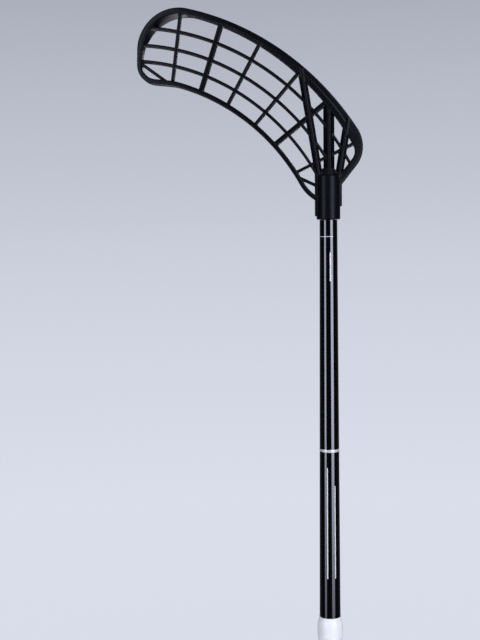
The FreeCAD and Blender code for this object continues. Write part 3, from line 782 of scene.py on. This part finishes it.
def rim_beads(size):
    """Meshes of the fine beads along the rim's front and back, with tapered ends."""
    centre_x = BOW_CENTRE[0] - RIM_BEAD_SHARE * SOLE_SWELL * math.sin(SOLE_SWELL_ANGLE)
    centre_z = BOW_CENTRE[1] + RIM_BEAD_SHARE * SOLE_SWELL * math.cos(SOLE_SWELL_ANGLE)
    radius = SOLE_RADIUS - RIM_BEAD_SHARE * (SOLE_RIM + SOLE_SWELL)
    first, last = RIM_BEAD_ANGLES
    beads = []
    for face in (1, -1):
        rings = []
        for step in range(RIM_BEAD_STEPS + 1):
            share = step / RIM_BEAD_STEPS
            angle = math.radians(first + (last - first) * share)
            fade = smooth_share(0.0, RIM_BEAD_TAPER, min(share, 1 - share))
            thick = size * (RIM_BEAD_TIP + (1 - RIM_BEAD_TIP) * fade)
            ring = []
            for side in range(RIM_BEAD_SIDES):
                turn = TURN * side / RIM_BEAD_SIDES
                out = radius + thick * math.cos(turn)
                layer = face * (RIM_HALF - RIM_BEAD_SINK) + thick * math.sin(turn)
                x, z = centre_x + out * math.cos(angle), centre_z + out * math.sin(angle)
                ring.append(bent_point(x, z, layer))
            rings.append(ring)
        beads.append(mesh_from_rings("rim_bead", rings))
    return beads


def free_share(place):
    """Share of the skin's growth at a point: none where the tube and the screw fit."""
    share = 1.0
    if place.z < SOCKET_FLOOR + FLOOR_MARGIN:
        from_axis = math.hypot(place.x, place.y)
        share = smooth_share(SOCKET_RADIUS + FIT_MARGIN, SOCKET_RADIUS + SOCKET_EASE, from_axis)
    if place.x > 0:
        from_screw = math.hypot(place.y, place.z - SCREW_HEIGHT)
        share *= smooth_share(SCREW_SEAT_RADIUS + FIT_MARGIN, SCREW_SEAT_RADIUS + SEAT_EASE, from_screw)
    return share


class STICK_OT_blade(bpy.types.Operator):
    """Mould the blade: the frame's blade with a drafted toe, a fine bead on its rim and soft edges"""

    bl_idname = "stick.mould_blade"
    bl_label = "Mould Blade"

    def execute(self, context):
        sizes = context.scene.stick_sizes
        model = add_object("blade_model", self.detailed(sizes))
        cells = model.modifiers.new("cells", "REMESH")
        cells.mode = "VOXEL"
        cells.voxel_size = sizes.mould_step
        soften = model.modifiers.new("soften", "SMOOTH")
        soften.factor = SOFTEN_FACTOR
        soften.iterations = sizes.edge_softness
        mould = settled_mesh(model)
        outward = [vertex.normal.copy() for vertex in mould.vertices]
        for vertex, way in zip(mould.vertices, outward):
            vertex.co += way * sizes.edge_restore * free_share(vertex.co)
        model.modifiers.clear()
        model.data = mould
        lighten = model.modifiers.new("lighten", "DECIMATE")
        lighten.ratio = LIGHTEN_RATIO
        mesh = settled_mesh(model)
        bpy.data.objects.remove(model)
        if len(mesh.polygons) < LEAST_MOULDED_FACES:
            raise RuntimeError("the blade's moulding came out empty")
        plastic = worn_finish("blade_plastic")
        blade = add_piece("blade_moulding", mesh, "stick", plastic, 180.0)
        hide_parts("blade")
        return {"FINISHED"}

    def detailed(self, sizes):
        """The frame's blade with its toe's wall drafted, its ribs carried across it and its rim beaded."""
        body = add_object("blade_body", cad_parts["blade"].data.copy())
        cutter = add_object("toe_cutter", toe_wall_cutter(sizes.toe_bead / MM))
        weld = body.modifiers.new("weld", "WELD")
        weld.merge_threshold = WELD
        carve = body.modifiers.new("carve", "BOOLEAN")
        carve.operation = "DIFFERENCE"
        carve.solver = "EXACT"
        carve.object = cutter
        carved = settled_mesh(body)
        if len(carved.polygons) < LEAST_CARVED_FACES:
            raise RuntimeError("the toe's wall could not be carved")
        for part in (body, cutter):
            bpy.data.objects.remove(part)
        skin = bmesh.new()
        skin.from_mesh(carved)
        for added in toe_rib_ends(sizes.rib_width / MM) + rim_beads(sizes.rim_bead / MM / 2):
            skin.from_mesh(added)
            bpy.data.meshes.remove(added)
        skin.to_mesh(carved)
        skin.free()
        return carved


class STICK_OT_shaft(bpy.types.Operator):
    """Lacquer the shaft: the frame's tube with a clear-coated black finish"""

    bl_idname = "stick.lacquer_shaft"
    bl_label = "Lacquer Shaft"

    def execute(self, context):
        dress(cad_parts["shaft_tube"].data, worn_finish("shaft_lacquer"))
        return {"FINISHED"}


def printed_patch(name, angles, heights, material):
    """Thin closed patch that hugs the shaft between two angles in degrees and two heights."""
    first, last = angles
    low, high = heights
    across = max(2, int((last - first) / INK_ARC))
    along = max(1, int((high - low) / INK_RUN))
    turns = [math.radians(first + (last - first) * part / across) for part in range(across + 1)]
    rings = []
    for step in range(along + 1):
        height = low + (high - low) * step / along
        radius = tube_radius(height)
        ring = [round_shaft(radius + INK_ABOVE, angle, height) for angle in turns]
        ring += [round_shaft(radius + INK_BELOW, angle, height) for angle in reversed(turns)]
        rings.append(ring)
    add_piece(name, mesh_from_rings(name, rings), "stick", material)


class STICK_OT_shaft_marks(bpy.types.Operator):
    """Print the shaft: a thin cross line, plain stripes and a silver ring"""

    bl_idname = "stick.print_shaft"
    bl_label = "Print Shaft"

    def execute(self, context):
        sizes = context.scene.stick_sizes
        ink = worn_finish("shaft_print")
        silver = worn_finish("shaft_ring")
        line = sizes.mark_width
        heights = (CROSS_LINE_HEIGHT, CROSS_LINE_HEIGHT + CROSS_LINE_SHARE * line)
        printed_patch("cross_line", CROSS_LINE_ANGLES, heights, ink)
        printed_patch("short_stripe", SHORT_STRIPE_ANGLES, SHORT_STRIPE_HEIGHTS, ink)
        for name, angle, low, high in LONG_STRIPES:
            half = math.degrees(line / 2 / tube_radius((low + high) / 2))
            printed_patch(name, (angle - half, angle + half), (low, high), ink)
        low = sizes.ring_height - sizes.ring_width / 2
        high = sizes.ring_height + sizes.ring_width / 2
        wide, slim = tube_radius(low), tube_radius(high)
        profile = [
            (wide + INK_BELOW, low), (wide + RING_EDGE, low),
            (wide + RING_ABOVE, low + RING_BEVEL), (slim + RING_ABOVE, high - RING_BEVEL),
            (slim + RING_EDGE, high), (slim + INK_BELOW, high),
        ]
        ring = turned_mesh("silver_ring", profile, RING_SIDES)
        add_piece("silver_ring", ring, "stick", silver)
        return {"FINISHED"}


class STICK_OT_grip(bpy.types.Operator):
    """Wind the grip: one long strip round the shaft with rolled edges and open seams"""

    bl_idname = "stick.wind_grip"
    bl_label = "Wind Grip"

    def execute(self, context):
        sizes = context.scene.stick_sizes
        pitch = sizes.strip_pitch
        half = (pitch - sizes.strip_seam) / 2
        shares = STRIP_SHARES + tuple(-share for share in reversed(STRIP_SHARES[:-1]))
        first = (GRIP_BOTTOM - half) / pitch
        last = (GRIP_TOP + half) / pitch
        steps = int((last - first) * STRIP_STEPS)
        rings = []
        places = []
        for step in range(steps + 1):
            turns = first + (last - first) * step / steps
            angle = turns * TURN
            section = [(share, self.outside(share, angle, sizes.strip_thickness)) for share in shares]
            section += [(share, GRIP_INSIDE) for share in STRIP_UNDERSIDE]
            ring = []
            for share, radius in section:
                height = min(max(turns * pitch + share * half, GRIP_BOTTOM), GRIP_TOP)
                ring.append(round_shaft(radius, angle, height))
            rings.append(ring)
            places.append([(angle * STRIP_MEAN_RADIUS, share * half / MM) for share, radius in section])
        mesh = mesh_from_rings("grip_winding", rings, places=places)
        grip = add_piece("grip_winding", mesh, "stick", grip_strip_finish(), 60.0)
        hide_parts("grip_tape")
        return {"FINISHED"}

    def outside(self, share, angle, thick):
        """Outside radius of the strip: rolled in at its edges and a little wavy between them."""
        roll = 1 - sum(depth * abs(share) ** power for depth, power in STRIP_ROLLS)
        wave = STRIP_WAVE * thick * math.sin(5 * angle + 9 * share) * (1 - share * share)
        return GRIP_INSIDE + thick * roll - abs(wave)


class STICK_OT_band(bpy.types.Operator):
    """Wrap the finishing band: stretched film over the grip's end, puckered where it narrows"""

    bl_idname = "stick.wrap_band"
    bl_label = "Wrap Finishing Band"

    def execute(self, context):
        puckers = context.scene.stick_sizes.band_puckers
        outside = []
        for step in range(BAND_STEPS + 1):
            height = BAND_BOTTOM + (BAND_TOP - BAND_BOTTOM) * step / BAND_STEPS
            drop = smooth_share(*BAND_DROP, height)
            inside = BAND_INSIDE + (BAND_NECK_INSIDE - BAND_INSIDE) * drop
            outside.append((inside + BAND_FILM, height))
        inner = [(radius - BAND_FILM * 0.7, height) for radius, height in reversed(outside)]

        def pleat(angle, radius, height):
            rise = smooth_share(*PLEAT_RISE, height)
            fall = 1 - smooth_share(*PLEAT_FALL, height)
            wander = 1.3 * math.sin(3 * angle + 0.7) + 0.8 * math.sin(7 * angle)
            fold = 0.5 + 0.5 * math.sin(puckers * angle + wander + PLEAT_LEAN * (height - BAND_SHOULDER))
            uneven = 0.55 + 0.45 * math.sin(5 * angle + 1.9)
            return -PLEAT_DEPTH * rise * fall * fold * uneven

        mesh = turned_mesh("band_wrap", outside + inner, BAND_SIDES, pleat)
        band = add_piece("band_wrap", mesh, "stick", worn_finish("band_film"), 50.0)
        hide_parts("finish_band")
        return {"FINISHED"}


class STICK_OT_screw(bpy.types.Operator):
    """Cut the blade screw: the frame's head with a real thread from its seat to its point"""

    bl_idname = "stick.cut_screw"
    bl_label = "Cut Blade Screw"

    def execute(self, context):
        pitch = context.scene.stick_sizes.thread_pitch
        count = STEPS_PER_THREAD * int(SCREW_LENGTH / pitch + 1)
        rings = []
        for step in range(count + 1):
            along = SCREW_LENGTH * step / count
            rings.append([
                self.thread_point(along, TURN * side / SCREW_SIDES, pitch) for side in range(SCREW_SIDES)
            ])
        shank = mesh_from_rings("screw_shank", rings)
        skin = bmesh.new()
        skin.from_mesh(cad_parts["blade_screw"].data)
        bmesh.ops.remove_doubles(skin, verts=skin.verts, dist=WELD)
        every = list(skin.verts) + list(skin.edges) + list(skin.faces)
        bmesh.ops.bisect_plane(
            skin, geom=every, dist=SLIVER, plane_co=(SCREW_SEAT - HEAD_OVERLAP, 0, 0), plane_no=(1, 0, 0),
            clear_inner=True,
        )
        bmesh.ops.holes_fill(skin, edges=[edge for edge in skin.edges if edge.is_boundary], sides=0)
        skin.from_mesh(shank)
        bmesh.ops.recalc_face_normals(skin, faces=skin.faces)
        mesh = freed_mesh("screw_threaded", skin)
        bpy.data.meshes.remove(shank)
        screw = add_piece("screw_threaded", mesh, "screw", worn_finish("screw_steel"), 30.0)
        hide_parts("blade_screw")
        return {"FINISHED"}

    def thread_point(self, along, angle, pitch):
        """Point on the thread's skin, along the screw from its seat and round its axis."""
        phase = (along / pitch + angle / TURN) % 1.0
        ridge = max(0.0, 1.0 - abs(phase - 0.5) / THREAD_HALF)
        start = smooth_share(0.0, pitch * THREAD_RUN_IN, along)
        crest = (SCREW_THREAD_RADIUS - SCREW_ROOT_RADIUS) * min(ridge * THREAD_FLAT, 1.0) * start
        taper = min((SCREW_LENGTH - along) / SCREW_POINT, 1.0) * (1 - POINT_SHARE) + POINT_SHARE
        radius = (SCREW_ROOT_RADIUS + crest) * taper
        return (SCREW_SEAT - along, radius * math.cos(angle), SCREW_HEIGHT + radius * math.sin(angle))


class STICK_OT_cap(bpy.types.Operator):
    """Mould the butt plug: knurled head, gripping rings and a hollow spigot"""

    bl_idname = "stick.mould_cap"
    bl_label = "Mould Butt Plug"

    def execute(self, context):
        profile = []
        for step in range(CAP_BEVEL_STEPS + 1):
            angle = math.pi / 2 * step / CAP_BEVEL_STEPS
            radius = CAP_RADIUS - CAP_BEVEL + CAP_BEVEL * math.sin(angle)
            profile.append((radius, CAP_BEVEL - CAP_BEVEL * math.cos(angle)))
        profile += [(CAP_RADIUS, height) for height in (*KNURL_ROWS, CAP_HEAD - CAP_HEAD_EDGE)]
        profile += [(CAP_RADIUS - CAP_HEAD_EDGE, CAP_HEAD), (CAP_CORE, CAP_HEAD)]
        for ring in range(3):
            start = CAP_RING_START + CAP_RING_PITCH * ring
            for rise, share in CAP_RING_PROFILE:
                profile.append((CAP_CORE + (CAP_RING - CAP_CORE) * share, start + CAP_RING_WIDTH * rise))
        profile += [
            (CAP_CORE, CAP_END - CAP_END_EDGE), (CAP_CORE - CAP_END_EDGE, CAP_END),
            (CAP_HOLLOW + CAP_MOUTH_EDGE, CAP_END), (CAP_HOLLOW, CAP_END - CAP_MOUTH_EDGE),
            (CAP_HOLLOW, CAP_FLOOR + CAP_FLOOR_EDGE), (CAP_HOLLOW - CAP_FLOOR_EDGE, CAP_FLOOR),
            (CAP_AXIS_GAP, CAP_FLOOR), (CAP_AXIS_GAP, CAP_DISH),
            (CAP_DISH_RADII[0], CAP_DISH), (CAP_DISH_RADII[1], 0.0),
        ]

        def knurl(angle, radius, height):
            if radius < CAP_RADIUS - KNURL_REACH:
                return 0.0
            zone = smooth_share(*KNURL_RISE, height) - smooth_share(*KNURL_FALL, height)
            return -KNURL_DEPTH * zone * (0.5 + 0.5 * math.cos(KNURL_TEETH * angle)) ** 2

        mesh = turned_mesh("butt_plug", profile, CAP_SIDES, knurl)
        plug = add_piece("butt_plug", mesh, "cap", worn_finish("cap_rubber"), 40.0)
        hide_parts("end_cap")
        return {"FINISHED"}


def fade_low_end(lamp):
    """Lets a softbox grow dimmer towards its lower end."""
    lamp.use_nodes = True
    tree = lamp.node_tree
    place = add_node(tree, "NewGeometry")
    parts = add_node(tree, "SeparateXYZ")
    ramp = add_range(tree, 0.0, 0.30, (0.12, 1.0))
    wire(
        tree,
        (place, "Parametric", parts, "Vector"), (parts, "Y", ramp, "Value"),
        (ramp, "Result", tree.nodes["Emission"], "Strength"),
    )


def soft_light(name, place, target, width, height, power, mirrored=True, faded=False):
    """Flat softbox that faces a point; it lights and may be mirrored, but isn't seen itself."""
    lamp = bpy.data.lights.new(name, "AREA")
    lamp.shape = "RECTANGLE"
    lamp.size = width
    lamp.size_y = height
    lamp.energy = power
    lamp.color = SOFTBOX_TINT
    if faded:
        fade_low_end(lamp)
    box = add_object(name, lamp)
    box.location = place
    box.rotation_mode = "QUATERNION"
    box.rotation_quaternion = (Vector(target) - Vector(place)).to_track_quat("-Z", "Y")
    box.visible_camera = False
    box.visible_glossy = mirrored
    return box


def light_only(box, piece):
    """Keeps a softbox's light to one piece."""
    lit = bpy.data.collections.new(box.name + "_lit")
    lit.objects.link(piece)
    box.light_linking.receiver_collection = lit


def screen_colour(red, green, blue):
    """Linear colour of a shade given as it shows on a screen, 0 to 255."""
    parts = []
    for part in (red, green, blue):
        share = part / 255
        parts.append(share / 12.92 if share <= 0.04045 else ((share + 0.055) / 1.055) ** 2.4)
    return (*parts, 1.0)


def colour_stops(ramp, stops):
    """Sets a colour ramp's stops from pairs of place and shade on a screen."""
    elements = ramp.color_ramp.elements
    while len(elements) > 1:
        elements.remove(elements[-1])
    elements[0].position = stops[0][0]
    elements[0].color = screen_colour(*stops[0][1])
    for place, shade in stops[1:]:
        elements.new(place).color = screen_colour(*shade)


class STICK_OT_stage(bpy.types.Operator):
    """Set the stage: floor, pale surroundings, softboxes and the camera"""

    bl_idname = "stick.set_stage"
    bl_label = "Set Stage"

    def execute(self, context):
        settings = context.scene.stick_stage
        self.make_floor(settings)
        self.make_surroundings()
        self.make_lights(settings)
        self.make_camera()
        context.scene.view_settings.view_transform = "Standard"
        return {"FINISHED"}

    def make_lights(self, settings):
        """Two tall softboxes that the shaft mirrors, plain ones round them and one for the blade alone."""
        left, right = settings.left_light, settings.right_light
        soft_light("softbox_left", (-0.82, -0.68, 0.80), SHAFT_AIM, 0.40, 1.72, left, faded=True)
        soft_light("softbox_right", (0.65, -0.875, 0.80), SHAFT_AIM, 0.62, 1.72, right, faded=True)
        for box in PLAIN_SOFTBOXES:
            soft_light(*box)
        low = soft_light("softbox_low", (0.10, 0.75, 0.0), (-0.10, 0.0, 1.0), 1.6, 1.0, 22.0)
        light_only(low, bpy.data.objects["blade_moulding"])

    def make_camera(self):
        """Camera at the photograph's viewing angle."""
        lens = bpy.data.cameras.new("camera")
        lens.lens = CAMERA_LENS
        lens.clip_start = 0.01
        lens.clip_end = 200.0
        camera = add_object("camera", lens)
        turn = Matrix.Rotation(CAMERA_TILT, 4, "X") @ Matrix.Rotation(CAMERA_ROLL, 4, "Z")
        camera.matrix_world = Matrix.Translation(CAMERA_PLACE) @ turn
        bpy.context.scene.camera = camera

    def make_floor(self, settings):
        """Wide pale disc: shaded near the stick, and pale further out, where painted shade makes it a
        little darker towards the horizon.
        """
        skin = bmesh.new()
        bmesh.ops.create_circle(skin, cap_ends=True, radius=FLOOR_RADIUS, segments=FLOOR_SEGMENTS)
        mesh = freed_mesh("floor", skin)
        floor = add_object("floor", mesh)
        floor.location = (0.0, 0.0, settings.floor_height)
        floor.visible_glossy = False
        finish = Finish("floor_paper")
        place = finish.node("NewGeometry")
        flat = finish.node("VectorMath", operation="MULTIPLY", inputs={1: (1.0, 1.0, 0.0)})
        away = finish.node("VectorMath", operation="LENGTH")
        plus = finish.node("Math", operation="ADD", inputs={1: FLOOR_HALF_WAY})
        share = finish.node("Math", operation="DIVIDE")
        pale = finish.node("ValToRGB")
        colour_stops(pale, FLOOR_STOPS)
        glow = finish.node("Emission")
        near = add_range(finish.tree, 0.22, 0.66, smooth=True)
        path = finish.node("LightPath")
        seen = finish.node("Math", operation="MULTIPLY")
        either = finish.node("MixShader")
        wire(
            finish.tree,
            (place, "Position", flat, 0), (flat, "Vector", away, 0), (away, "Value", plus, 0),
            (away, "Value", share, 0), (plus, "Value", share, 1),
            (share, "Value", pale, "Fac"), (pale, "Color", glow, "Color"),
            (away, "Value", near, "Value"), (near, "Result", seen, 0),
            (path, "Is Camera Ray", seen, 1), (seen, "Value", either, "Fac"),
            (finish.shader, "BSDF", either, 1), (glow, "Emission", either, 2),
            (either, "Shader", finish.tree.nodes["Material Output"], "Surface"),
        )
        grain = finish.group(fine_grain, 600.0)
        base = tuple(settings.floor_colour)
        tone = finish.blend_colours(grain.outputs["Patch"], lighter(base, 0.99), lighter(base, 1.01))
        finish.feed(Base_Color=tone)
        finish.set(Roughness=0.85)
        mesh.materials.append(finish.material)

    def make_surroundings(self):
        """World: a pale sky for the camera, darkened upward with painted shade, an even fill for matt
        surfaces and a dim back to mirror.
        """
        world = bpy.data.worlds.new("studio")
        world.use_nodes = True
        tree = world.node_tree
        back = tree.nodes["Background"]
        place = add_node(tree, "TexCoord")
        parts = add_node(tree, "SeparateXYZ")
        raised = add_range(tree, -0.1, 0.9)
        sky = add_node(tree, "ValToRGB")
        colour_stops(sky, SKY_STOPS)
        facing = add_range(tree, 0.30, 0.65, (0.02, 0.11), smooth=True)
        path = add_node(tree, "LightPath")
        fill = add_node(tree, "Math", operation="MULTIPLY", inputs={1: FILL_LEVEL})
        direct = add_node(tree, "Math", operation="MAXIMUM")
        level = add_node(tree, "Math", operation="MAXIMUM")
        wire(
            tree,
            (place, "Generated", parts, "Vector"), (parts, "Z", raised, "Value"),
            (raised, "Result", sky, "Fac"), (sky, "Color", back, "Color"),
            (parts, "Y", facing, "Value"), (path, "Is Diffuse Ray", fill, 0),
            (facing, "Result", direct, 0), (fill, "Value", direct, 1),
            (direct, "Value", level, 0), (path, "Is Camera Ray", level, 1),
            (level, "Value", back, "Strength"),
        )
        bpy.context.scene.world = world


class STICK_PT_panel(bpy.types.Panel):
    """Sizes, colours and steps of the floorball stick"""

    bl_idname = "STICK_PT_panel"
    bl_label = "Floorball Stick"
    bl_space_type = "VIEW_3D"
    bl_region_type = "UI"
    bl_category = "Stick"

    def draw(self, context):
        column = self.layout.column()
        for settings in (context.scene.stick_sizes, context.scene.stick_colours, context.scene.stick_stage):
            for key in settings.__annotations__:
                column.prop(settings, key)
            column.separator()
        for step in STEPS:
            column.operator(step.bl_idname)


STEPS = (
    STICK_OT_blade, STICK_OT_shaft, STICK_OT_shaft_marks, STICK_OT_grip,
    STICK_OT_band, STICK_OT_screw, STICK_OT_cap, STICK_OT_stage,
)
CLASSES = (StickSizes, StickColours, StageSettings) + STEPS + (STICK_PT_panel,)


def register():
    for kind in CLASSES:
        bpy.utils.register_class(kind)
    bpy.types.Scene.stick_sizes = PointerProperty(type=StickSizes)
    bpy.types.Scene.stick_colours = PointerProperty(type=StickColours)
    bpy.types.Scene.stick_stage = PointerProperty(type=StageSettings)


def unregister():
    del bpy.types.Scene.stick_stage
    del bpy.types.Scene.stick_colours
    del bpy.types.Scene.stick_sizes
    for kind in reversed(CLASSES):
        bpy.utils.unregister_class(kind)


def main():
    register()
    bpy.ops.stick.mould_blade()
    bpy.ops.stick.lacquer_shaft()
    bpy.ops.stick.print_shaft()
    bpy.ops.stick.wind_grip()
    bpy.ops.stick.wrap_band()
    bpy.ops.stick.cut_screw()
    bpy.ops.stick.mould_cap()
    bpy.ops.stick.set_stage()


if __name__ == "__main__":
    main()
